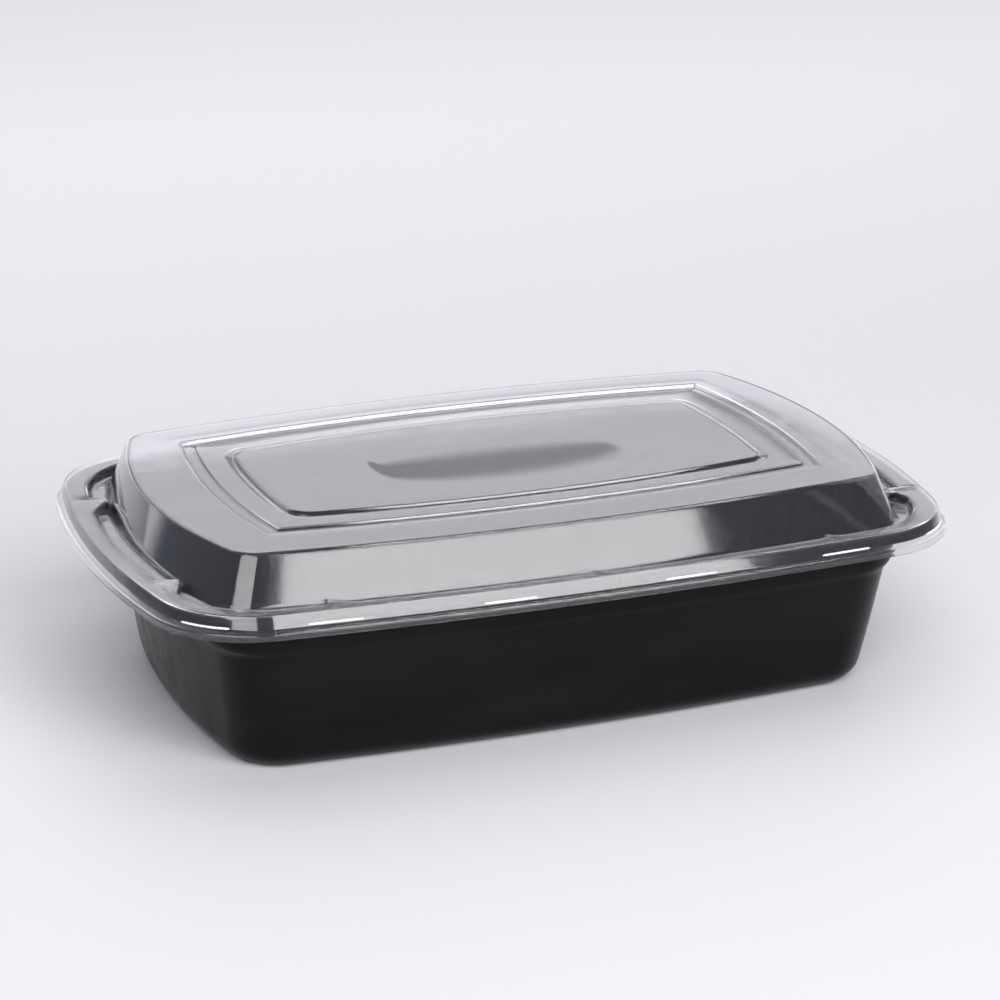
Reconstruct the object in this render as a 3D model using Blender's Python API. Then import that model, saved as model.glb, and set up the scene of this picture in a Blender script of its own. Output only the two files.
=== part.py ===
"""A shut rectangular takeaway container: a black tub and the clear domed lid snapped onto it."""

import math
from collections import namedtuple

import bmesh
import bpy

MM = 0.001

# A rectangle with bowed sides and round corners, in millimetres: half its length and half its width at
# the middle of its sides, how far the long and the short sides bow out, and the corner's radius.
Outline = namedtuple("Outline", "half_length half_width long_bow short_bow corner")

# One ring of a moulded wall: its outline, how far inside that outline it lies, and its height.
Station = namedtuple("Station", "outline inset height")

# Lid, from the outside in
SKIRT = Outline(111.5, 71.6, 6.0, 10.4, 27.4)
FLANGE_INSIDE = Outline(104.0, 65.2, 7.2, 11.1, 22.2)
DOME_FOOT = Outline(100.0, 60.6, 7.4, 12.0, 10.0)
SHOULDER = Outline(94.9, 56.6, 7.4, 12.0, 7.9)
STEP = Outline(79.1, 44.0, 5.8, 5.1, 0.9)
PANEL = Outline(66.1, 32.0, 5.4, 2.3, 5.9)
LID_WALL = 0.55

SKIRT_BOTTOM = 42.0
LEDGE_HEIGHT = 43.85
FLANGE_TOP = 47.9
CHANNEL_FLOOR = 44.8
SHOULDER_HEIGHT = 58.3
STEP_HEIGHT = 58.4
STEP_SLOPE = 1.0
DECK_HEIGHT = 57.4
PANEL_RISE = 0.95
DENT_HALF_LENGTH = 34.5
DENT_HALF_WIDTH = 18.0
DENT_DEPTH = 0.6

# The bead's outer wall leans in: its inset and height at its foot and at its top
BEAD_FOOT = (0.95, 44.2)
BEAD_TOP = (2.25, 47.45)

# Denesting lugs in the lid's channel
LUG_TOP = 47.15
LUG_BITE = 0.15
LUG_SINK = 0.25
LUG_FOOT_INSET = 0.5
LONG_SIDE_LUGS = (-66.6, -1.4, 64.3)
LONG_SIDE_LUG = (4.5, 3.4)
SHORT_SIDE_LUGS = (-34.0, 32.0)
SHORT_SIDE_LUG = (8.0, 4.7)

# Snap ridges round the lid's bead
RIDGE_HEIGHT = 45.0
RIDGE_RISE = 0.3
RIDGE_HALF_HEIGHT = 0.45
RIDGE_HALF_LENGTH = 7.0
RIDGE_SINK = 0.25
RIDGE_FINENESS = 8
RIDGE_STEPS = 6
SIDE_RIDGES = (24.0, 68.0)
CORNER_RIDGE = (93.0, 102.5)

# Tub, from the bottom up
BASE = Outline(90.3, 53.4, 4.3, 6.7, 14.0)
WALL_TOP = Outline(96.2, 59.7, 4.4, 9.3, 15.5)
COLLAR = Outline(98.6, 60.9, 4.5, 10.0, 16.6)
TUB_WALL = 0.8
BASE_FILLET = 7.0
WALL_TOP_HEIGHT = 32.3
COLLAR_FOOT = 34.8
COLLAR_TOP = 42.4
LEDGE_UNDERSIDE = 43.15
RIM_UNDERSIDE = 45.85

# The lip's inner face leans like the lid's bead: its inset and height at its foot and at its top
LIP_FOOT = (2.8, 44.3)
LIP_TOP = (3.25, 45.45)

# Points round each outline
CORNER_STEPS = 7
HALF_LONG_STEPS = 4
HALF_SHORT_STEPS = 4


def clear_scene():
    for old in list(bpy.data.objects):
        bpy.data.objects.remove(old, do_unlink=True)


def quarter(outline, inset, finer=1):
    """The outline's points from the middle of the short side at +X to the middle of the long side at +Y."""
    short_steps = HALF_SHORT_STEPS * finer
    corner_steps = CORNER_STEPS * finer
    long_steps = HALF_LONG_STEPS * finer
    long_radius = (outline.half_length**2 + outline.long_bow**2) / (2 * outline.long_bow) - inset
    short_radius = (outline.half_width**2 + outline.short_bow**2) / (2 * outline.short_bow) - inset
    corner = max(outline.corner - inset, 0.3)
    half_length = outline.half_length - inset
    half_width = outline.half_width - inset
    long_centre = half_width - long_radius
    short_centre = half_length - short_radius
    # The corner's centre lies where circles drawn a corner radius inside both sides cross.
    to_long = long_radius - corner
    to_short = short_radius - corner
    gap = math.hypot(short_centre, long_centre)
    along = (to_long**2 - to_short**2 + gap**2) / (2 * gap)
    across = math.sqrt(to_long**2 - along**2)
    ux, uy = short_centre / gap, -long_centre / gap
    cx = ux * along + uy * across
    cy = long_centre + uy * along - ux * across
    start = math.atan2(cy, cx - short_centre)
    end = math.atan2(cy - long_centre, cx)
    points = []
    for i in range(short_steps):
        turn = start * i / short_steps
        points.append((short_centre + short_radius * math.cos(turn), short_radius * math.sin(turn)))
    for i in range(corner_steps):
        turn = start + (end - start) * i / corner_steps
        points.append((cx + corner * math.cos(turn), cy + corner * math.sin(turn)))
    for i in range(long_steps + 1):
        turn = end + (math.pi / 2 - end) * i / long_steps
        points.append((long_radius * math.cos(turn), long_centre + long_radius * math.sin(turn)))
    return points


def ring_points(station):
    """The station's closed ring, mirrored from one quarter."""
    first = quarter(station.outline, station.inset)
    second = [(-x, y) for x, y in reversed(first[:-1])]
    half = first + second
    other = [(-x, -y) for x, y in half[1:-1]]
    return [(x, y, station.height) for x, y in half + other]


def blend(low, high, share):
    return Outline(*(a + (b - a) * share for a, b in zip(low, high)))


def thickened(stations, wall):
    """The far skin's stations: each moved by the wall's thickness to the left of the way the section runs."""
    section = [(s.outline.half_length - s.inset, s.height) for s in stations]
    normals = []
    for (x0, z0), (x1, z1) in zip(section, section[1:]):
        length = math.hypot(x1 - x0, z1 - z0)
        normals.append(((z0 - z1) / length, (x1 - x0) / length))
    moved = []
    for i, station in enumerate(stations):
        nx, nz = normals[max(i - 1, 0)]
        mx, mz = normals[min(i, len(normals) - 1)]
        scale = wall / (1 + nx * mx + nz * mz)
        moved.append(
            Station(
                station.outline,
                station.inset - (nx + mx) * scale,
                station.height + (nz + mz) * scale,
            )
        )
    return moved


def dent_rings(edge_height, count):
    """Rings of the long shallow dent in the panel, with pinched ends, from its edge to its bottom."""
    rings = []
    for share, sunk in ((1.0, 0.0), (0.66, 0.6), (0.3, 0.95)):
        ring = []
        for i in range(count):
            turn = 2 * math.pi * i / count
            pinch = math.copysign(abs(math.sin(turn)) ** 1.5, math.sin(turn))
            ring.append(
                (
                    DENT_HALF_LENGTH * share * math.cos(turn),
                    DENT_HALF_WIDTH * share * pinch,
                    edge_height - DENT_DEPTH * sunk,
                )
            )
        rings.append(ring)
    return rings


def shell(name, near, far, material):
    """A closed shell between two skins of rings: bridged ring to ring, joined at the edge and capped."""
    mesh_tool = bmesh.new()
    rows = []
    for ring in list(reversed(near)) + far:
        rows.append([mesh_tool.verts.new([value * MM for value in point]) for point in ring])
    for low, high in zip(rows, rows[1:]):
        for i in range(len(low)):
            j = (i + 1) % len(low)
            mesh_tool.faces.new((low[i], low[j], high[j], high[i]))
    mesh_tool.faces.new(list(reversed(rows[0])))
    mesh_tool.faces.new(rows[-1])
    bmesh.ops.recalc_face_normals(mesh_tool, faces=mesh_tool.faces)
    mesh = bpy.data.meshes.new(name)
    mesh_tool.to_mesh(mesh)
    mesh_tool.free()
    obj = bpy.data.objects.new(name, mesh)
    bpy.context.scene.collection.objects.link(obj)
    mesh.materials.append(material)
    mesh.shade_smooth()
    mesh.set_sharp_from_angle(angle=math.radians(32))
    return obj


def tub_stations():
    """The tub's outer skin, from the edge of its flat bottom up and over to the lip."""
    slope = math.atan2(WALL_TOP.half_length - BASE.half_length, WALL_TOP_HEIGHT)
    centre = BASE.half_length + BASE_FILLET * (math.tan(slope) - 1 / math.cos(slope))
    stations = []
    for i in range(5):
        turn = -math.pi / 2 + (math.pi / 2 - slope) * i / 4
        inset = BASE.half_length - centre - BASE_FILLET * math.cos(turn)
        stations.append(Station(BASE, inset, BASE_FILLET * (1 + math.sin(turn))))
    stations.append(Station(blend(BASE, WALL_TOP, 0.5), 0.0, WALL_TOP_HEIGHT / 2))
    stations.append(Station(WALL_TOP, 0.0, WALL_TOP_HEIGHT))
    # The stacking step and the collar above it
    for share, out in ((0.3, 0.12), (0.65, 0.7)):
        height = WALL_TOP_HEIGHT + (COLLAR_FOOT - WALL_TOP_HEIGHT) * share
        stations.append(Station(blend(WALL_TOP, COLLAR, out), 0.1, height))
    stations.append(Station(COLLAR, 0.2, COLLAR_FOOT))
    stations.append(Station(COLLAR, -0.3, COLLAR_TOP))
    # The ledge under the lid's channel
    stations.append(Station(COLLAR, -0.9, LEDGE_UNDERSIDE))
    stations.append(Station(FLANGE_INSIDE, -0.4, LEDGE_UNDERSIDE))
    stations.append(Station(FLANGE_INSIDE, -1.05, LEDGE_UNDERSIDE + 0.65))
    # The rim and its lip
    stations.append(Station(FLANGE_INSIDE, -1.6, RIM_UNDERSIDE - 0.3))
    stations.append(Station(FLANGE_INSIDE, -1.9, RIM_UNDERSIDE))
    stations.append(Station(SKIRT, LIP_TOP[0] + 0.5, RIM_UNDERSIDE))
    stations.append(Station(SKIRT, *LIP_TOP))
    stations.append(Station(SKIRT, *LIP_FOOT))
    return stations


def lid_stations():
    """The lid's outer skin, from the skirt's lower edge up and in to the panel's edge."""
    return [
        Station(SKIRT, 0.0, SKIRT_BOTTOM),
        Station(SKIRT, 0.05, LEDGE_HEIGHT - 0.3),
        Station(SKIRT, 0.25, LEDGE_HEIGHT),
        Station(SKIRT, 0.75, LEDGE_HEIGHT + 0.05),
        Station(SKIRT, *BEAD_FOOT),
        Station(SKIRT, *BEAD_TOP),
        Station(SKIRT, 2.6, FLANGE_TOP - 0.1),
        Station(SKIRT, 3.3, FLANGE_TOP),
        Station(FLANGE_INSIDE, -0.5, FLANGE_TOP - 0.35),
        Station(FLANGE_INSIDE, 0.1, FLANGE_TOP - 0.75),
        Station(FLANGE_INSIDE, 0.6, CHANNEL_FLOOR + 0.3),
        Station(FLANGE_INSIDE, 0.95, CHANNEL_FLOOR),
        Station(DOME_FOOT, -0.5, CHANNEL_FLOOR),
        Station(DOME_FOOT, 0.1, CHANNEL_FLOOR + 0.5),
        Station(SHOULDER, -0.2, SHOULDER_HEIGHT - 0.5),
        Station(SHOULDER, 0.5, SHOULDER_HEIGHT),
        # The lid steps down to its deck, and its panel stands up from there.
        Station(STEP, 0.0, STEP_HEIGHT),
        Station(STEP, STEP_SLOPE, DECK_HEIGHT),
        Station(PANEL, -0.45, DECK_HEIGHT),
        Station(PANEL, 0.0, DECK_HEIGHT + PANEL_RISE),
    ]


def lug(start, along, inward, size, flip_x, flip_y):
    """A triangular lug: its square face stands at start, and it tapers away along the channel's wall."""
    length, depth = size
    mesh_tool = bmesh.new()
    for height, bite in ((CHANNEL_FLOOR - LUG_SINK, -LUG_FOOT_INSET), (LUG_TOP, LUG_BITE)):
        for run, reach in ((0.0, -bite), (0.0, depth), (length, -bite)):
            x = start[0] + along[0] * run + inward[0] * reach
            y = start[1] + along[1] * run + inward[1] * reach
            mesh_tool.verts.new((flip_x * x * MM, flip_y * y * MM, height * MM))
    bmesh.ops.convex_hull(mesh_tool, input=mesh_tool.verts)
    bmesh.ops.recalc_face_normals(mesh_tool, faces=mesh_tool.faces)
    mesh = bpy.data.meshes.new("lug")
    mesh_tool.to_mesh(mesh)
    mesh_tool.free()
    return bpy.data.objects.new("lug", mesh)


def side_point(half, bow, other_half, along):
    """How far a bowed side stands from the middle this far along it, and its slope there."""
    radius = (other_half**2 + bow**2) / (2 * bow)
    rise = math.sqrt(radius**2 - along**2)
    return half - radius + rise, -along / rise


def lugs():
    """The lugs round the channel: the back ones are turned about, the ones at +X are mirrored."""
    made = []
    edge = FLANGE_INSIDE
    for flip in (1, -1):
        for place in LONG_SIDE_LUGS:
            reach, slope = side_point(edge.half_width, edge.long_bow, edge.half_length, place)
            made.append(lug((place, -reach), (1, -slope), (slope, 1), LONG_SIDE_LUG, flip, flip))
        for place in SHORT_SIDE_LUGS:
            reach, slope = side_point(edge.half_length, edge.short_bow, edge.half_width, place)
            made.append(lug((-reach, place), (slope, -1), (1, slope), SHORT_SIDE_LUG, flip, 1))
    return made


def ridge(root, crest, flip_x, flip_y):
    """A slim ridge swept along the bead's wall between its root and its crest, mirrored as asked."""
    mesh_tool = bmesh.new()
    rows = []
    for i in range(len(crest)):
        # The crest sinks into the wall at both ends.
        end = i in (0, len(crest) - 1)
        middle = root[i] if end else crest[i]
        row = []
        for (x, y), height in (
            (root[i], -RIDGE_HALF_HEIGHT),
            (middle, 0.0),
            (root[i], RIDGE_HALF_HEIGHT),
        ):
            place = (flip_x * x * MM, flip_y * y * MM, (RIDGE_HEIGHT + height) * MM)
            row.append(mesh_tool.verts.new(place))
        rows.append(row)
    for low, high in zip(rows, rows[1:]):
        for i in range(3):
            j = (i + 1) % 3
            mesh_tool.faces.new((low[i], low[j], high[j], high[i]))
    mesh_tool.faces.new(rows[0])
    mesh_tool.faces.new(rows[-1])
    bmesh.ops.recalc_face_normals(mesh_tool, faces=mesh_tool.faces)
    mesh = bpy.data.meshes.new("ridge")
    mesh_tool.to_mesh(mesh)
    mesh_tool.free()
    return bpy.data.objects.new("ridge", mesh)


def ridges():
    """The snap ridges: some along each long side and one round each corner."""
    share = (RIDGE_HEIGHT - BEAD_FOOT[1]) / (BEAD_TOP[1] - BEAD_FOOT[1])
    wall_inset = BEAD_FOOT[0] + (BEAD_TOP[0] - BEAD_FOOT[0]) * share
    root = quarter(SKIRT, wall_inset + RIDGE_SINK, RIDGE_FINENESS)
    crest = quarter(SKIRT, wall_inset - RIDGE_RISE, RIDGE_FINENESS)
    made = []
    spans = [(x - RIDGE_HALF_LENGTH, x + RIDGE_HALF_LENGTH) for x in SIDE_RIDGES]
    for low, high in spans + [CORNER_RIDGE]:
        inside = [i for i, point in enumerate(root) if low < point[0] < high]
        picked = inside[:: max(1, len(inside) // RIDGE_STEPS)]
        for flip_x in (1, -1):
            for flip_y in (1, -1):
                foot = [root[i] for i in picked]
                top = [crest[i] for i in picked]
                made.append(ridge(foot, top, flip_x, flip_y))
    return made


def fuse(lid, pieces):
    """Joins the pieces to the lid as one solid and removes what they were made from."""
    group = bpy.data.collections.new("lid details")
    bpy.context.scene.collection.children.link(group)
    for piece in pieces:
        group.objects.link(piece)
    union = lid.modifiers.new("details", "BOOLEAN")
    union.operation = "UNION"
    union.solver = "EXACT"
    union.operand_type = "COLLECTION"
    union.collection = group
    bpy.context.view_layer.objects.active = lid
    bpy.ops.object.modifier_apply(modifier=union.name)
    for piece in pieces:
        bpy.data.objects.remove(piece, do_unlink=True)
    bpy.data.collections.remove(group)


def black_plastic():
    material = bpy.data.materials.new("black polypropylene")
    material.use_nodes = True
    shader = material.node_tree.nodes["Principled BSDF"]
    shader.inputs["Base Color"].default_value = (0.011, 0.011, 0.012, 1)
    shader.inputs["Roughness"].default_value = 0.34
    shader.inputs["Metallic"].default_value = 0.0
    return material


def clear_plastic():
    material = bpy.data.materials.new("clear polypropylene")
    material.use_nodes = True
    shader = material.node_tree.nodes["Principled BSDF"]
    shader.inputs["Base Color"].default_value = (0.9, 0.92, 0.95, 1)
    shader.inputs["Roughness"].default_value = 0.08
    shader.inputs["Metallic"].default_value = 0.0
    shader.inputs["IOR"].default_value = 1.49
    shader.inputs["Transmission Weight"].default_value = 0.9
    return material


def make_tub():
    outer = tub_stations()
    inner = thickened(outer, TUB_WALL)
    near = [ring_points(s) for s in reversed(outer)]
    far = [ring_points(s) for s in reversed(inner)]
    return shell("tub", near, far, black_plastic())


def make_lid():
    outer = lid_stations()
    inner = thickened(outer, LID_WALL)
    near = [ring_points(s) for s in outer]
    far = [ring_points(s) for s in inner]
    near += dent_rings(outer[-1].height, len(near[0]))
    far += dent_rings(inner[-1].height, len(far[0]))
    lid = shell("lid", near, far, clear_plastic())
    fuse(lid, lugs() + ridges())
    return lid


clear_scene()
make_tub()
make_lid()
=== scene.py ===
import math

import bmesh
import bpy
import numpy as np
from mathutils import Matrix, Vector


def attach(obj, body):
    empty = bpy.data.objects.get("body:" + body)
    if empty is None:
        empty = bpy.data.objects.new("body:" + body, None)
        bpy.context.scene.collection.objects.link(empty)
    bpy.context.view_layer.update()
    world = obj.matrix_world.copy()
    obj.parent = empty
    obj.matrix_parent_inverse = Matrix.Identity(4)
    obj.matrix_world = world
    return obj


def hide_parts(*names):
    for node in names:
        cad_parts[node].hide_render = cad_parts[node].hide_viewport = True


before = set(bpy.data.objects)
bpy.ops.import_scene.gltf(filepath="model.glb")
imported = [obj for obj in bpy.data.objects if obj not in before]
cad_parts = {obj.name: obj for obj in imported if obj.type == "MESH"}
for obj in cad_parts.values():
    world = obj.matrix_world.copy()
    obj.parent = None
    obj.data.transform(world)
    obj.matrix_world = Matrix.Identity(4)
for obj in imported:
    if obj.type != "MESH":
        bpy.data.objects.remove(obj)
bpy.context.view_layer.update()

mm = 0.001

# An outline is a rectangle with bowed sides and round corners, in millimetres: half length and half
# width at the middle of its sides, bow of the long sides, bow of the short sides, corner radius.
lidShape = {
    "skirt": (111.5, 71.6, 6.0, 10.4, 27.4),
    "flangeInside": (104.0, 65.2, 7.2, 11.1, 22.2),
    "domeFoot": (100.0, 60.6, 7.4, 12.0, 10.0),
    "shoulder": (94.9, 56.6, 7.4, 12.0, 7.9),
    "groove": (79.1, 44.0, 5.8, 5.1, 0.9),
    "panel": (66.1, 32.0, 5.4, 2.3, 5.9),
    "wall": 0.36,
    "skirtBottom": 42.0,
    "ledge": 43.85,
    "flangeTop": 47.9,
    "channelFloor": 44.8,
    "shoulderHeight": 58.25,
    "grooveTop": 58.4,
    "grooveFloor": 57.45,
    "deck": 58.1,
    "panelTop": 58.38,
    # Each valley's insets from its outline: the foot of its first slope, the end of its flat bottom, the
    # end of its second slope
    "grooveInsets": (1.0, 3.8, 4.4),
    "valleyInsets": (-2.3, -0.45),
    # The shoulder band's hollow: where it starts, inset from the shoulder, and where it ends, inset from
    # the groove, and how far each lies above the shoulder
    "bandInsets": (3.2, -5.0),
    "bandLevels": (-0.02, 0.01),
    # The skirt's inset where the ledge turns in, and the ledge's fall below and rise above its height
    "ledgeInset": 0.1,
    "ledgeFall": 0.05,
    "ledgeRise": 0.15,
    # The flange's inner edge and the channel's foot, each inset from the flange's inner outline
    "flangeEdgeInset": -0.15,
    "flangeEdgeDrop": 0.4,
    "channelInset": 0.75,
    "panelRings": 56,
    "panelEdgeInset": 0.4,
    "edgeSteps": 6,
}

# How far each of the lid's edges is rounded, in the order in which the section meets them
lidFillets = {
    "ledge": 0.5,
    "beadFoot": 0.35,
    "flangeOutside": 0.35,
    "flangeInside": 0.75,
    "channel": 1.6,
    "domeFoot": 1.8,
    "shoulder": 1.0,
    "bandOutside": 1.2,
    "bandInside": 1.5,
    "grooveTop": 0.25,
    "grooveFoot": 0.25,
    "grooveEnd": 0.4,
    "deckEdge": 0.25,
    "valleyTop": 0.6,
    "panelFoot": 0.2,
    "panelTop": 0.2,
}

tubShape = {
    "base": (90.3, 53.4, 4.3, 6.7, 14.0),
    "wallTop": (96.2, 59.7, 4.4, 9.3, 15.5),
    "collar": (98.6, 60.9, 4.5, 10.0, 16.6),
    "wall": 0.8,
    "baseFillet": 7.0,
    "wallTopHeight": 32.3,
    "wallTopLift": 0.4,
    "wallTopFillet": 1.2,
    "collarFoot": 34.8,
    "collarFootInset": 0.25,
    "collarFootDrop": 0.3,
    "collarLean": -0.35,
    "ledgeUnderside": 43.15,
    "ledgeInset": -0.75,
    "ledgeFillet": 0.6,
    "rimUnderside": 45.85,
    "rimInset": -1.85,
    "rimFillet": 0.5,
    "lipFoot": (2.78, 44.3),
    "lipTop": 3.4,
    "lipFillet": 0.7,
    "wallShares": (0.4, 0.6, 0.8),
    "baseFilletSteps": 10,
    "floorRings": (0.98, 0.7, 0.3),
}

# Small wedges that stand in the lid's channel: where each one's square face is, its length along the
# channel, how far it reaches in, and how far from the middle that side of the lid lies at least.
lugShape = {
    "longSide": {"places": (-66.6, -1.4, 64.3), "length": 4.2, "reach": 3.3, "beyond": 50},
    "shortSide": {"places": (-34.0, 32.0), "length": 8.0, "reach": 4.9, "beyond": 88},
    "squareFace": 0.15,
    "edgeInset": 0.3,
    "stationLean": 0.1,
    "slack": -0.02,
    "none": -50.0,
}

# Snap ridges on the lid's bead
ridgeShape = {
    "centres": (24.0, 68.0),
    "halfLength": 7.0,
    "corner": (93.0, 102.5),
    "height": 45.0,
    "halfHeight": 0.25,
    "rise": 0.18,
    "sides": 12,
    "points": 25,
    "endPower": 16,
    "endLeast": 0.0004,
}

# The bead's leaning outer wall: inset and height at its foot and top
beadShape = {"foot": (0.95, 44.2), "top": (2.25, 47.45), "steps": 5, "roundOver": 0.22}

# The long shallow dent in the middle of the panel, with pinched ends: its deepest line lies behind the
# line between the ends, and its front slope is the longer one.
dentShape = {
    "halfLength": 34.8,
    "y": -2.0,
    "behind": 12.0,
    "front": 32.0,
    "back": 15.0,
    "depth": 1.1,
    "pinchPower": 0.4,
    "pinchLeast": 0.02,
    "endShare": 0.08,
}

ringSteps = {"short": 14, "corner": 18, "long": 34}
leastRadius = 0.3
leastSpotGap = 0.004
mergeDistance = 0.000002  # metres
mostShare = 0.48  # of the way to the next station, for a fillet


def loopPoints(outline, inset, spots):
    # x and y at each spot round an outline. A spot runs 0 to 12: three stretches in each quarter.
    halfLength, halfWidth, longBow, shortBow, corner = outline
    longRadius = (halfLength**2 + longBow**2) / (2 * longBow) - inset
    shortRadius = (halfWidth**2 + shortBow**2) / (2 * shortBow) - inset
    cornerRadius = np.maximum(corner - inset, leastRadius)
    longCentre = halfWidth - inset - longRadius
    shortCentre = halfLength - inset - shortRadius
    toLong = longRadius - cornerRadius
    toShort = shortRadius - cornerRadius
    gap = np.hypot(shortCentre, longCentre)
    along = (toLong**2 - toShort**2 + gap**2) / (2 * gap)
    across = np.sqrt(toLong**2 - along**2)
    ux = shortCentre / gap
    uy = -longCentre / gap
    cx = ux * along + uy * across
    cy = longCentre + uy * along - ux * across
    start = np.arctan2(cy, cx - shortCentre)
    end = np.arctan2(cy - longCentre, cx)
    quarter = np.clip((spots // 3).astype(int), 0, 3)
    local = np.where(quarter % 2 == 0, spots - 3 * quarter, 3 * (quarter + 1) - spots)
    shortTurn = start * np.clip(local, 0, 1)
    cornerTurn = start + (end - start) * np.clip(local - 1, 0, 1)
    longTurn = end + (math.pi / 2 - end) * np.clip(local - 2, 0, 1)
    x = np.where(
        local < 1,
        shortCentre + shortRadius * np.cos(shortTurn),
        np.where(local < 2, cx + cornerRadius * np.cos(cornerTurn), longRadius * np.cos(longTurn)),
    )
    y = np.where(
        local < 1,
        shortRadius * np.sin(shortTurn),
        np.where(
            local < 2,
            cy + cornerRadius * np.sin(cornerTurn),
            longCentre + longRadius * np.sin(longTurn),
        ),
    )
    x = np.where((quarter == 1) | (quarter == 2), -x, x)
    y = np.where(quarter >= 2, -y, y)
    return x, y


def evenSpots():
    # Evenly stepped spots, the same in every quarter
    local = []
    for k, name in enumerate(("short", "corner", "long")):
        steps = ringSteps[name]
        local += [k + i / steps for i in range(steps)]
    local = np.array(local)
    quarters = [local, 6 - local[local > 0], 6 + local, 12 - local[local > 0]]
    corners = [np.array([3.0]), np.array([6.0]), np.array([9.0])]
    return np.unique(np.round(np.concatenate(quarters + corners), 6))


def spotsNear(outline, inset, axis, places, wanted):
    # Spots where the outline crosses the given x (axis 0) or y (axis 1) places, on the wanted sides
    fine = np.linspace(0, 12, 24001)[:-1]  # close steps, so that a crossing is found exactly
    xy = loopPoints(outline, inset, fine)
    value = xy[axis]
    found = []
    for place in places:
        for i in np.nonzero(np.diff(np.sign(value - place)))[0]:
            if wanted(xy[0][i], xy[1][i]):
                found.append(fine[i])
    return found


def smoothStep(t):
    t = np.clip(t, 0, 1)
    return t * t * (3 - 2 * t)


class Skin:
    # Rows of points across a moulded wall. Each station is a ring; its corner is rounded off by up to
    # its reach on both sides, so edges get real fillets.
    def __init__(self, spots):
        self.spots = spots
        self.rings = []
        self.reaches = []

    def add(self, outline, inset, height, reach=0.0):
        x, y = loopPoints(outline, inset, self.spots)
        z = np.zeros_like(x) + height
        self.rings.append(np.stack([x, y, z], axis=1))
        self.reaches.append(reach)

    def rows(self):
        out = []
        last = len(self.rings) - 1
        for i, ring in enumerate(self.rings):
            reach = self.reaches[i]
            if reach <= 0 or i in (0, last):
                out.append(ring)
                continue
            before = self.rings[i - 1] - ring
            after = self.rings[i + 1] - ring
            sizeBefore = np.maximum(np.linalg.norm(before, axis=1, keepdims=True), 1e-6)
            sizeAfter = np.maximum(np.linalg.norm(after, axis=1, keepdims=True), 1e-6)
            a = ring + before * np.minimum(reach / sizeBefore, mostShare)
            b = ring + after * np.minimum(reach / sizeAfter, mostShare)
            steps = 3 if reach < 0.5 else 5
            for k in range(steps + 1):
                t = k / steps
                out.append(a * (1 - t) ** 2 + ring * 2 * t * (1 - t) + b * t * t)
        return out


def thickened(stations, wall):
    # The far skin of a wall: each station moved to the left of the way the section runs
    section = [(s[0][0] - s[1], s[2]) for s in stations]
    normals = []
    for (x0, z0), (x1, z1) in zip(section, section[1:]):
        size = math.hypot(x1 - x0, z1 - z0)
        normals.append(((z0 - z1) / size, (x1 - x0) / size))
    moved = []
    for i, (outline, inset, height, reach) in enumerate(stations):
        nx, nz = normals[max(i - 1, 0)]
        bx, bz = normals[min(i, len(normals) - 1)]
        scale = wall / (1 + nx * bx + nz * bz)
        moved.append((outline, inset - (nx + bx) * scale, height + (nz + bz) * scale, reach))
    return moved


def blendOutline(low, high, share):
    return tuple(a + (b - a) * share for a, b in zip(low, high))


def gridMesh(name, rows, capLow, capHigh):
    # One closed mesh from rows of rings
    count = len(rows[0])
    points = np.concatenate(rows) * mm
    faces = []
    for r in range(len(rows) - 1):
        base = r * count
        for i in range(count):
            j = (i + 1) % count
            faces.append((base + i, base + j, base + count + j, base + count + i))
    if capLow:
        faces.append(tuple(reversed(range(count))))
    if capHigh:
        base = (len(rows) - 1) * count
        faces.append(tuple(base + i for i in range(count)))
    mesh = bpy.data.meshes.new(name)
    mesh.from_pydata(points.tolist(), [], faces)
    mesh.validate()
    tool = bmesh.new()
    tool.from_mesh(mesh)
    bmesh.ops.remove_doubles(tool, verts=tool.verts, dist=mergeDistance)
    bmesh.ops.recalc_face_normals(tool, faces=tool.faces)
    tool.to_mesh(mesh)
    tool.free()
    piece = bpy.data.objects.new(name, mesh)
    bpy.context.scene.collection.objects.link(piece)
    mesh.shade_smooth()
    return piece


# The clear lid

def lugInset(xy, spots):
    # How far in the channel's outer wall stands at each spot because of a lug; far outside where none
    x, y = xy
    slack = lugShape["slack"]
    out = np.full(len(spots), lugShape["none"])
    long = lugShape["longSide"]
    for place in long["places"]:
        for side in (-1, 1):
            # The back lugs taper the other way.
            start = place if side < 0 else -place
            run = (x - start) if side < 0 else (start - x)
            here = (np.sign(y) == side) & (run > slack) & (run < long["length"])
            here &= abs(y) > long["beyond"]
            out = np.where(here, long["reach"] * (1 - run / long["length"]), out)
    short = lugShape["shortSide"]
    for place in short["places"]:
        run = place - y
        here = (run > slack) & (run < short["length"]) & (abs(x) > short["beyond"])
        out = np.where(here, short["reach"] * (1 - run / short["length"]), out)
    return out


def dentDepth(x, y):
    s = dentShape
    t = np.clip(abs(x) / s["halfLength"], 0, 1)
    pinch = (1 - t**2) ** s["pinchPower"] + s["pinchLeast"]
    v = y - s["y"] - s["behind"] * pinch
    near = np.clip(abs(v) / (np.where(v < 0, s["front"], s["back"]) * pinch), 0, 1)
    ends = smoothStep((1 - t) / s["endShare"])
    return s["depth"] * ends * pinch * (1 + np.cos(math.pi * near)) / 2


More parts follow.
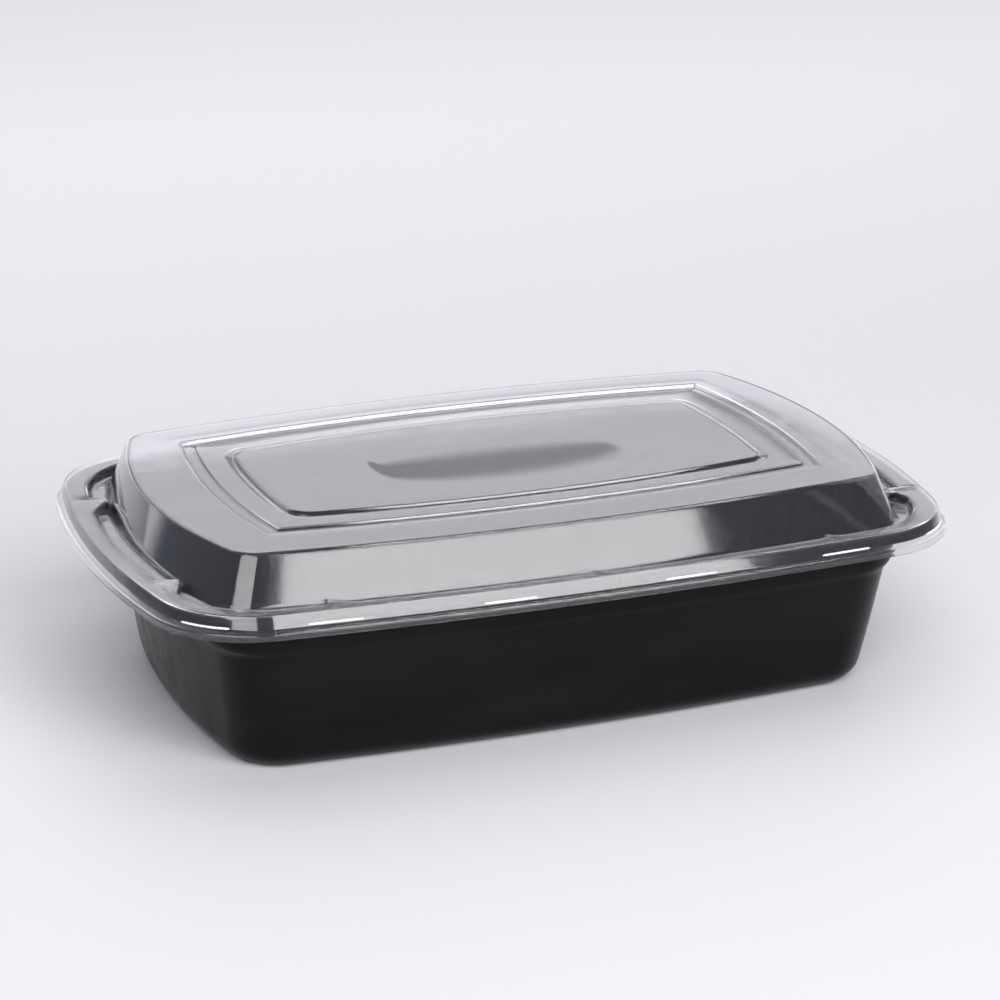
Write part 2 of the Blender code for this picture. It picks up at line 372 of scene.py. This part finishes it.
def lidStations():
    s = lidShape
    r = lidFillets
    flange, flangeTop, floor = s["flangeInside"], s["flangeTop"], s["channelFloor"]
    deck, low = s["deck"], s["grooveFloor"]
    shoulder, groove, panel = s["shoulder"], s["groove"], s["panel"]
    grooveFoot, grooveEnd, deckStart = s["grooveInsets"]
    valleyTop, valleyFoot = s["valleyInsets"]
    foot, top = beadShape["foot"], beadShape["top"]
    stations = [
        (s["skirt"], 0.0, s["skirtBottom"] + s["wall"] / 2, 0.0),
        (s["skirt"], s["ledgeInset"], s["ledge"] - s["ledgeFall"], r["ledge"]),
        (s["skirt"], foot[0], s["ledge"] + s["ledgeRise"], r["beadFoot"]),
    ]
    # The bead's leaning outer wall
    for i in range(beadShape["steps"] + 1):
        t = i / beadShape["steps"]
        inset = foot[0] + (top[0] - foot[0]) * t
        stations.append((s["skirt"], inset, foot[1] + (top[1] - foot[1]) * t, 0.0))
    stations += [
        (s["skirt"], top[0] + beadShape["roundOver"], flangeTop, r["flangeOutside"]),
        (flange, s["flangeEdgeInset"], flangeTop - s["flangeEdgeDrop"], r["flangeInside"]),
        (flange, s["channelInset"], floor, r["channel"]),
        (s["domeFoot"], 0.0, floor, r["domeFoot"]),
        (shoulder, 0.0, s["shoulderHeight"], r["shoulder"]),
        # The band between the shoulder and the groove is a little hollow.
        (shoulder, s["bandInsets"][0], s["shoulderHeight"] + s["bandLevels"][0], r["bandOutside"]),
        (groove, s["bandInsets"][1], s["shoulderHeight"] + s["bandLevels"][1], r["bandInside"]),
        (groove, 0.0, s["grooveTop"], r["grooveTop"]),
        (groove, grooveFoot, low, r["grooveFoot"]),
        (groove, grooveEnd, low, r["grooveEnd"]),
        (groove, deckStart, deck, r["deckEdge"]),
        # The deck dips round the panel's foot.
        (panel, valleyTop, deck, r["valleyTop"]),
        (panel, valleyFoot, low, r["panelFoot"]),
        (panel, 0.0, s["panelTop"], r["panelTop"]),
    ]
    return stations


def lidSkin(stations, spots, far):
    # The rows of one skin, with the lugs worked into it
    skin = Skin(spots)
    wall = lidShape["wall"]
    edge = loopPoints(lidShape["flangeInside"], lugShape["edgeInset"], spots)
    lug = lugInset(edge, spots) - (wall if far else 0.0)
    order = 0
    for outline, inset, height, reach in stations:
        inset = np.full(len(spots), float(inset))
        if outline is lidShape["flangeInside"]:
            inset = np.maximum(inset, lug + lugShape["stationLean"] * order)
            order += 1
        skin.add(outline, inset, height, reach)
    return skin.rows()


def panelRows(height):
    # The panel's flat top with its dent, in rings that shrink to the middle
    rows = []
    rings = lidShape["panelRings"]
    for k in range(1, rings):
        share = 1 - k / rings
        x, y = loopPoints(lidShape["panel"], lidShape["panelEdgeInset"], lidSpots)
        x = x * share
        y = y * share
        rows.append(np.stack([x, y, height - dentDepth(x, y)], axis=1))
    return rows


def makeLidSpots():
    # The lid's spots round its outlines, with more at the faces and ends of the lugs
    inner = lidShape["flangeInside"]
    inset = lugShape["edgeInset"]
    face = lugShape["squareFace"]
    extra = []
    long = lugShape["longSide"]
    for place in long["places"]:
        for side in (-1, 1):
            start = place if side < 0 else -place
            way = 1 if side < 0 else -1
            marks = [start - way * face, start, start + way * long["length"]]
            extra += spotsNear(inner, inset, 0, marks, lambda x, y, s=side: y * s > long["beyond"])
    short = lugShape["shortSide"]
    for place in short["places"]:
        marks = [place + face, place, place - short["length"]]
        extra += spotsNear(inner, inset, 1, marks, lambda x, y: abs(x) > short["beyond"])
    spots = np.unique(np.round(np.concatenate([evenSpots(), np.array(extra)]), 5))
    keep = [spots[0]]
    wanted = set(np.round(extra, 5))
    for spot in spots[1:]:
        if spot - keep[-1] > leastSpotGap:
            keep.append(spot)
        elif spot in wanted:
            keep[-1] = spot
    return np.array(keep)


lidSpots = makeLidSpots()


def makeLid():
    wall = lidShape["wall"]
    outer = lidStations()
    inner = thickened(outer, wall)
    near = lidSkin(outer, lidSpots, False) + panelRows(outer[-1][2])
    far = lidSkin(inner, lidSpots, True) + panelRows(inner[-1][2])
    # The skirt's lower edge is round.
    middle = (near[0] + far[0]) / 2
    side = near[0] - middle
    down = np.array([0, 0, -wall / 2])
    edge = []
    for k in range(1, lidShape["edgeSteps"]):
        turn = math.pi * k / lidShape["edgeSteps"]
        edge.append(middle + side * math.cos(turn) + down * math.sin(turn))
    return gridMesh("lidShell", list(reversed(near)) + edge + far, True, True)


def makeRidge(name, low, high, flipX, flipY):
    # One snap ridge: a slim rounded strip half sunk in the bead's wall, running from x low to x high
    foot, top = beadShape["foot"], beadShape["top"]
    share = (ridgeShape["height"] - foot[1]) / (top[1] - foot[1])
    inset = foot[0] + (top[0] - foot[0]) * share
    fine = np.linspace(6, 9, 4001)
    x, y = loopPoints(lidShape["skirt"], inset, fine)
    inside = np.nonzero((-x >= low) & (-x <= high))[0]
    places = np.linspace(inside[0], inside[-1], ridgeShape["points"]).round().astype(int)
    picked = fine[places]
    lean = (top[0] - foot[0]) / (top[1] - foot[1])
    rows = []
    for k in range(ridgeShape["sides"]):
        turn = 2 * math.pi * k / ridgeShape["sides"]
        up = ridgeShape["halfHeight"] * math.sin(turn)
        out = ridgeShape["rise"] * math.cos(turn)
        # The strip narrows to a point at both ends.
        along = np.linspace(-1, 1, len(picked))
        full = np.sqrt(np.clip(1 - along ** ridgeShape["endPower"], ridgeShape["endLeast"], 1))
        px, py = loopPoints(lidShape["skirt"], inset - out * full + lean * up, picked)
        rows.append(np.stack([px * flipX, py * flipY, ridgeShape["height"] + up * full], axis=1))
    return gridMesh(name, list(np.array(rows).transpose(1, 0, 2)), True, True)


# The black tub

def tubStations():
    s = tubShape
    base, wallTop, collar = s["base"], s["wallTop"], s["collar"]
    flange, skirt = lidShape["flangeInside"], lidShape["skirt"]
    slope = math.atan2(wallTop[0] - base[0], s["wallTopHeight"])
    fillet = s["baseFillet"]
    centre = base[0] + fillet * (math.tan(slope) - 1 / math.cos(slope))
    stations = []
    steps = s["baseFilletSteps"]
    for i in range(steps + 1):
        turn = -math.pi / 2 + (math.pi / 2 - slope) * i / steps
        inset = base[0] - centre - fillet * math.cos(turn)
        stations.append((base, inset, fillet * (1 + math.sin(turn)), 0.0))
    for share in s["wallShares"]:
        stations.append((blendOutline(base, wallTop, share), 0.0, s["wallTopHeight"] * share, 0.0))
    stations += [
        (wallTop, 0.0, s["wallTopHeight"] + s["wallTopLift"], s["wallTopFillet"]),
        (collar, s["collarFootInset"], s["collarFoot"] - s["collarFootDrop"], s["wallTopFillet"]),
        (collar, s["collarLean"], s["ledgeUnderside"], s["ledgeFillet"]),
        (flange, s["ledgeInset"], s["ledgeUnderside"], s["ledgeFillet"]),
        (flange, s["rimInset"], s["rimUnderside"], s["rimFillet"]),
        (skirt, s["lipTop"], s["rimUnderside"], s["lipFillet"]),
        (skirt, *s["lipFoot"], 0.0),
    ]
    return stations


def floorRows(outline, inset, height, spots):
    # A flat bottom in rings that shrink to the middle, so that it shades flat
    x, y = loopPoints(outline, inset, spots)
    z = np.zeros_like(x) + height
    return [np.stack([x * share, y * share, z], axis=1) for share in tubShape["floorRings"]]


def makeTub():
    spots = evenSpots()
    outer = tubStations()
    inner = thickened(outer, tubShape["wall"])
    rows = []
    for stations in (outer, inner):
        skin = Skin(spots)
        for station in stations:
            skin.add(*station)
        rows.append(skin.rows())
    near = list(reversed(floorRows(*outer[0][:3], spots))) + rows[0]
    far = list(reversed(floorRows(*inner[0][:3], spots))) + rows[1]
    return gridMesh("tubShell", near + list(reversed(far)), True, True)


# Materials

def addNode(tree, kind, place, **values):
    node = tree.nodes.new(kind)
    node.location = place
    for key, value in values.items():
        if hasattr(node, key):
            setattr(node, key, value)
        else:
            node.inputs[key.replace("_", " ")].default_value = value
    return node


surfaceShape = {
    # The group's inputs, each with the value it starts with
    "inputs": {"Grain Scale": 900.0, "Grain Depth": 0.2, "Wave Scale": 22.0, "Wave Depth": 1.0},
    "streakScale": 60.0,
    "streakStretch": (0.25, 1.6, 1.0),
    "streakTurn": 0.4,
    "streakFrom": 0.45,
    "streakFull": 0.75,
}


def mouldedSurface():
    # Shared group: a fine moulded grain, slow waves in the sheet, and faint rubbed streaks
    s = surfaceShape
    group = bpy.data.node_groups.new("mouldedSurface", "ShaderNodeTree")
    face = group.interface
    for name, value in s["inputs"].items():
        socket = face.new_socket(name, in_out="INPUT", socket_type="NodeSocketFloat")
        socket.default_value = value
    face.new_socket("Height", in_out="OUTPUT", socket_type="NodeSocketFloat")
    face.new_socket("Rub", in_out="OUTPUT", socket_type="NodeSocketFloat")
    given = group.nodes.new("NodeGroupInput")
    given.location = (-900, 0)
    result = group.nodes.new("NodeGroupOutput")
    result.location = (700, 0)
    place = addNode(group, "ShaderNodeTexCoord", (-900, -250))
    grain = addNode(group, "ShaderNodeTexNoise", (-500, 200), Detail=2.0)
    wave = addNode(group, "ShaderNodeTexNoise", (-500, -100), Detail=1.0)
    streak = addNode(group, "ShaderNodeTexNoise", (-300, -400), Scale=s["streakScale"], Detail=4.0)
    stretch = addNode(group, "ShaderNodeMapping", (-500, -400))
    stretch.inputs["Scale"].default_value = s["streakStretch"]
    stretch.inputs["Rotation"].default_value = (0.0, 0.0, s["streakTurn"])
    grainPart = addNode(group, "ShaderNodeMath", (-200, 200), operation="MULTIPLY")
    wavePart = addNode(group, "ShaderNodeMath", (-200, -100), operation="MULTIPLY")
    total = addNode(group, "ShaderNodeMath", (100, 100), operation="ADD")
    sharpen = addNode(group, "ShaderNodeMapRange", (0, -400))
    sharpen.inputs["From Min"].default_value = s["streakFrom"]
    sharpen.inputs["From Max"].default_value = s["streakFull"]
    link = group.links.new
    for texture in (grain, wave):
        link(place.outputs["Object"], texture.inputs["Vector"])
    link(place.outputs["Object"], stretch.inputs["Vector"])
    link(stretch.outputs["Vector"], streak.inputs["Vector"])
    link(given.outputs["Grain Scale"], grain.inputs["Scale"])
    link(given.outputs["Wave Scale"], wave.inputs["Scale"])
    link(grain.outputs["Fac"], grainPart.inputs[0])
    link(given.outputs["Grain Depth"], grainPart.inputs[1])
    link(wave.outputs["Fac"], wavePart.inputs[0])
    link(given.outputs["Wave Depth"], wavePart.inputs[1])
    link(grainPart.outputs[0], total.inputs[0])
    link(wavePart.outputs[0], total.inputs[1])
    link(streak.outputs["Fac"], sharpen.inputs["Value"])
    link(total.outputs[0], result.inputs["Height"])
    link(sharpen.outputs["Result"], result.inputs["Rub"])
    return group


def plasticMaterial(name, group, look):
    material = bpy.data.materials.new(name)
    material.use_nodes = True
    tree = material.node_tree
    shader = tree.nodes["Principled BSDF"]
    for key, value in look["shader"].items():
        shader.inputs[key].default_value = value
    surface = addNode(tree, "ShaderNodeGroup", (-900, 0))
    surface.node_tree = group
    for key, value in look["surface"].items():
        surface.inputs[key].default_value = value
    bump = addNode(tree, "ShaderNodeBump", (-300, -300), Strength=look["bump"])
    bump.inputs["Distance"].default_value = look["bumpDistance"]
    rough = addNode(tree, "ShaderNodeMapRange", (-500, 100))
    rough.inputs["To Min"].default_value = look["roughness"][0]
    rough.inputs["To Max"].default_value = look["roughness"][1]
    tint = addNode(tree, "ShaderNodeMix", (-500, 400), data_type="RGBA")
    tint.inputs["A"].default_value = look["colour"]
    tint.inputs["B"].default_value = look["rubbedColour"]
    link = tree.links.new
    link(surface.outputs["Height"], bump.inputs["Height"])
    link(bump.outputs["Normal"], shader.inputs["Normal"])
    link(surface.outputs["Rub"], rough.inputs["Value"])
    link(rough.outputs["Result"], shader.inputs["Roughness"])
    link(surface.outputs["Rub"], tint.inputs["Factor"])
    link(tint.outputs["Result"], shader.inputs["Base Color"])
    return material


blackLook = {
    "shader": {"Metallic": 0.0, "IOR": 1.45, "Specular IOR Level": 0.15},
    "surface": {"Grain Scale": 1400.0, "Grain Depth": 0.3, "Wave Scale": 14.0, "Wave Depth": 0.6},
    "bump": 0.12,
    "bumpDistance": 0.0004,
    "roughness": (0.27, 0.4),
    "colour": (0.002, 0.002, 0.0023, 1),
    "rubbedColour": (0.0042, 0.0042, 0.0046, 1),
}

clearLook = {
    "shader": {
        "Metallic": 0.0,
        "IOR": 1.49,
        "Transmission Weight": 0.993,
        "Coat Weight": 0.25,
        "Coat Roughness": 0.02,
        "Coat IOR": 1.4,
    },
    "surface": {"Grain Scale": 700.0, "Grain Depth": 0.01, "Wave Scale": 18.0, "Wave Depth": 0.5},
    "bump": 0.1,
    "bumpDistance": 0.0005,
    "roughness": (0.06, 0.1),
    "colour": (0.86, 0.865, 0.885, 1),
    "rubbedColour": (0.83, 0.835, 0.855, 1),
}

# Painted highlight: the ridges get a pale, whitish colour that stands in for the bright glint along
# them.
ridgeGlintLook = {
    "shader": {"Metallic": 0.0, "IOR": 1.49},
    "surface": {"Grain Scale": 900.0, "Grain Depth": 0.1, "Wave Scale": 40.0, "Wave Depth": 0.3},
    "bump": 0.1,
    "bumpDistance": 0.0002,
    "roughness": (0.2, 0.3),
    "colour": (0.5, 0.505, 0.52, 1),
    "rubbedColour": (0.44, 0.445, 0.46, 1),
}

group = mouldedSurface()
tub = makeTub()
tub.data.materials.append(plasticMaterial("blackPolypropylene", group, blackLook))
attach(tub, "root")
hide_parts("tub")
print("tub made", len(tub.data.polygons))

lid = makeLid()
lid.data.materials.append(plasticMaterial("clearPolypropylene", group, clearLook))
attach(lid, "root")
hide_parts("lid")
print("lid made", len(lid.data.polygons))

# The ridges' pale colour is a painted highlight.
ridgeMaterial = plasticMaterial("ridgeGlintPolypropylene", group, ridgeGlintLook)
spans = [(c - ridgeShape["halfLength"], c + ridgeShape["halfLength"]) for c in ridgeShape["centres"]]
for i, (low, high) in enumerate(spans + [ridgeShape["corner"]]):
    for corner, (flipX, flipY) in enumerate(((1, 1), (-1, 1), (1, -1), (-1, -1))):
        strip = makeRidge(f"snapRidge{i}{corner}", low, high, flipX, flipY)
        strip.data.materials.append(ridgeMaterial)
        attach(strip, "root")
print("ridges made", 4 * (len(spans) + 1))


# Stage: a large, flat, pale floor

stageLook = {
    "halfWidth": 4.0,
    "front": -3.0,
    "back": 3.0,
    "roughness": 0.55,
    "specular": 0.3,
    "mottleScale": 3.0,
    "mottle": (0.985, 0.985, 0.985, 1),
    "colour": (0.41, 0.411, 0.433, 1),
    # Painted light: the floor's colour grows lighter towards the back, between these two distances,
    # standing in for the light that falls there.
    "paintedLightBackColour": (0.545, 0.547, 0.565, 1),
    "near": 0.1,
    "far": 0.75,
}


def makeFloor():
    s = stageLook
    w, front, back = s["halfWidth"], s["front"], s["back"]
    corners = [(-w, front, 0), (w, front, 0), (w, back, 0), (-w, back, 0)]
    mesh = bpy.data.meshes.new("floor")
    mesh.from_pydata(corners, [], [(0, 1, 2, 3)])
    floor = bpy.data.objects.new("floor", mesh)
    bpy.context.scene.collection.objects.link(floor)
    material = bpy.data.materials.new("paleFloor")
    material.use_nodes = True
    tree = material.node_tree
    shader = tree.nodes["Principled BSDF"]
    shader.inputs["Roughness"].default_value = s["roughness"]
    shader.inputs["Specular IOR Level"].default_value = s["specular"]
    noise = addNode(tree, "ShaderNodeTexNoise", (-900, 300), Scale=s["mottleScale"], Detail=3.0)
    place = addNode(tree, "ShaderNodeTexCoord", (-1200, 0))
    # Painted light: the colour is mixed lighter towards the back, by distance along y.
    split = addNode(tree, "ShaderNodeSeparateXYZ", (-900, -100))
    paintedLightFade = addNode(tree, "ShaderNodeMapRange", (-700, -100), interpolation_type="SMOOTHSTEP")
    paintedLightFade.inputs["From Min"].default_value = s["near"]
    paintedLightFade.inputs["From Max"].default_value = s["far"]
    depth = addNode(tree, "ShaderNodeMix", (-450, -100), data_type="RGBA")
    depth.inputs["A"].default_value = s["colour"]
    depth.inputs["B"].default_value = s["paintedLightBackColour"]
    tint = addNode(tree, "ShaderNodeMix", (-200, 0), data_type="RGBA", blend_type="MULTIPLY")
    tint.inputs["B"].default_value = s["mottle"]
    link = tree.links.new
    link(place.outputs["Object"], noise.inputs["Vector"])
    link(place.outputs["Object"], split.inputs["Vector"])
    link(split.outputs["Y"], paintedLightFade.inputs["Value"])
    link(paintedLightFade.outputs["Result"], depth.inputs["Factor"])
    link(depth.outputs["Result"], tint.inputs["A"])
    link(noise.outputs["Fac"], tint.inputs["Factor"])
    link(tint.outputs["Result"], shader.inputs["Base Color"])
    mesh.materials.append(material)


makeFloor()
print("floor made")


# Light: a bright backdrop in a dim room, which the lid mirrors but which adds no soft light, and
# softboxes that the lid mirrors too. Azimuths turn from straight in front of the object towards its
# right, in degrees.

worldLook = {
    "dim": (0.08, 0.085, 0.105),
    "middle": 166.0,
    "halfWidth": 47.0,
    "softEdge": 4.0,
    "blueShare": 1.05,
    "strength": 3.0,
    # Height of the direction (0 level, 1 overhead) and brightness there
    "levels": (
        (0.0, 0.5), (0.08, 0.45), (0.14, 0.15), (0.22, 0.15), (0.315, 0.45),
        (0.4, 0.5), (0.5, 0.63), (0.57, 0.7), (0.7, 0.6), (0.8, 0.15),
    ),
}

# Each box stands on the line between two ends, given in metres.
softboxes = {
    "frontBox": {
        "ends": ((0.026, -1.552), (0.791, -1.338)),
        "heights": (0.36, 1.2),
        "glow": 6.3,
    },
    "leftBox": {
        "ends": ((-0.58, -2.2), (-0.94, -0.3)),
        "heights": (0.5, 1.6),
        "glow": 3.9,
    },
}

# A box overhead that the lid's slopes mirror, and that lights nothing else
topBox = {"size": (0.8, 0.6), "middle": (0.7, -0.45, 1.8), "glow": 9.0}

# Lamps that light the floor and the tub and are not mirrored, each with its middle and its tilt
fillLamps = {
    "overhead": {
        "size": (3.0, 3.0),
        "middle": (0.1, 0.7, 2.3),
        "tilt": 0.0,
        "glow": 2.1,
    },
    "frontFill": {
        "size": (3.4, 2.0),
        "middle": (0.0, -2.5, 1.9),
        "tilt": 52.8,
        "glow": 8.2,
    },
}


def makeWorld():
    s = worldLook
    world = bpy.data.worlds.new("paleRoom")
    bpy.context.scene.world = world
    world.use_nodes = True
    tree = world.node_tree
    background = tree.nodes["Background"]
    place = addNode(tree, "ShaderNodeTexCoord", (-1300, 0))
    flat = addNode(tree, "ShaderNodeVectorMath", (-1100, 200), operation="MULTIPLY")
    flat.inputs[1].default_value = (1, 1, 0)
    unit = addNode(tree, "ShaderNodeVectorMath", (-900, 200), operation="NORMALIZE")
    facing = addNode(tree, "ShaderNodeVectorMath", (-700, 200), operation="DOT_PRODUCT")
    middle = math.radians(s["middle"])
    facing.inputs[1].default_value = (math.sin(middle), -math.cos(middle), 0)
    mask = addNode(tree, "ShaderNodeMapRange", (-500, 200), interpolation_type="SMOOTHSTEP")
    edge, soft = s["halfWidth"], s["softEdge"]
    mask.inputs["From Min"].default_value = math.cos(math.radians(edge + soft))
    mask.inputs["From Max"].default_value = math.cos(math.radians(edge - soft))
    split = addNode(tree, "ShaderNodeSeparateXYZ", (-1100, -100))
    ramp = addNode(tree, "ShaderNodeValToRGB", (-700, -100))
    ramp.color_ramp.interpolation = "EASE"
    stops = ramp.color_ramp.elements
    for i, (height, level) in enumerate(s["levels"]):
        stop = stops[i] if i < 2 else stops.new(height)
        stop.position = height
        stop.color = (level, level, level * s["blueShare"], 1)
    blend = addNode(tree, "ShaderNodeMix", (-250, 0), data_type="RGBA")
    blend.inputs["A"].default_value = (*s["dim"], 1)
    link = tree.links.new
    link(place.outputs["Generated"], flat.inputs[0])
    link(flat.outputs["Vector"], unit.inputs[0])
    link(unit.outputs["Vector"], facing.inputs[0])
    link(facing.outputs["Value"], mask.inputs["Value"])
    link(place.outputs["Generated"], split.inputs["Vector"])
    link(split.outputs["Z"], ramp.inputs["Fac"])
    link(mask.outputs["Result"], blend.inputs["Factor"])
    link(ramp.outputs["Color"], blend.inputs["B"])
    link(blend.outputs["Result"], background.inputs["Color"])
    background.inputs["Strength"].default_value = s["strength"]
    world.cycles_visibility.diffuse = False


def addLamp(name, length, width, glow, turn, middle):
    light = bpy.data.lights.new(name, "AREA")
    light.shape = "RECTANGLE"
    light.size = length
    light.size_y = width
    light.energy = glow * math.pi * length * width
    lamp = bpy.data.objects.new(name, light)
    lamp.matrix_world = Matrix.Translation(middle) @ turn
    lamp.visible_camera = False
    bpy.context.scene.collection.objects.link(lamp)
    return lamp


def makeSoftbox(name, box):
    ends = [Vector((x, y, 0)) for x, y in box["ends"]]
    low, high = box["heights"]
    middle = (ends[0] + ends[1]) / 2
    across = (ends[1] - ends[0]).normalized()
    up = Vector((0, 0, 1))
    away = across.cross(up)
    if away.dot(middle) < 0:
        away = -away
        across = -across
    middle.z = (low + high) / 2
    turn = Matrix((across, up, away)).transposed().to_4x4()
    addLamp(name, (ends[1] - ends[0]).length, high - low, box["glow"], turn, middle)


def makeFill(name, fill):
    turn = Matrix.Rotation(math.radians(fill["tilt"]), 4, "X")
    lamp = addLamp(name, *fill["size"], fill["glow"], turn, Vector(fill["middle"]))
    # The lid's inner face mirrors by way of a transmitted ray.
    lamp.visible_glossy = False
    lamp.visible_transmission = False


def makeTopBox():
    flat = Matrix.Identity(4)
    lamp = addLamp("topBox", *topBox["size"], topBox["glow"], flat, Vector(topBox["middle"]))
    lamp.visible_diffuse = False


makeWorld()
for name, box in softboxes.items():
    makeSoftbox(name, box)
for name, fill in fillLamps.items():
    makeFill(name, fill)
makeTopBox()
print("lights made", len(softboxes) + len(fillLamps) + 1)


# Camera: the photograph's, in metres and degrees

cameraShape = {
    "target": (0.0, 0.0, 0.0344),
    "azimuth": -21.628,
    "elevation": 19.576,
    "distance": 0.85896,
    "roll": 0.193,
    "lens": 116.89,
    "sensor": 36.0,
    "nearest": 0.01,
    "shift": (0.00336, 0.03937),
}


def makeCamera():
    s = cameraShape
    az = math.radians(s["azimuth"])
    el = math.radians(s["elevation"])
    roll = math.radians(s["roll"])
    back = Vector((math.sin(az) * math.cos(el), -math.cos(az) * math.cos(el), math.sin(el)))
    right = Vector((math.cos(az), math.sin(az), 0))
    up = back.cross(right)
    turnedRight = right * math.cos(roll) + up * math.sin(roll)
    turnedUp = up * math.cos(roll) - right * math.sin(roll)
    view = bpy.data.cameras.new("photoCamera")
    view.lens = s["lens"]
    view.sensor_width = s["sensor"]
    view.shift_x, view.shift_y = s["shift"]
    view.clip_start = s["nearest"]
    camera = bpy.data.objects.new("photoCamera", view)
    turn = Matrix((turnedRight, turnedUp, back)).transposed().to_4x4()
    camera.matrix_world = Matrix.Translation(Vector(s["target"]) + back * s["distance"]) @ turn
    bpy.context.scene.collection.objects.link(camera)
    bpy.context.scene.camera = camera


makeCamera()
print("camera made")
bpy.context.scene.view_settings.view_transform = "Standard"
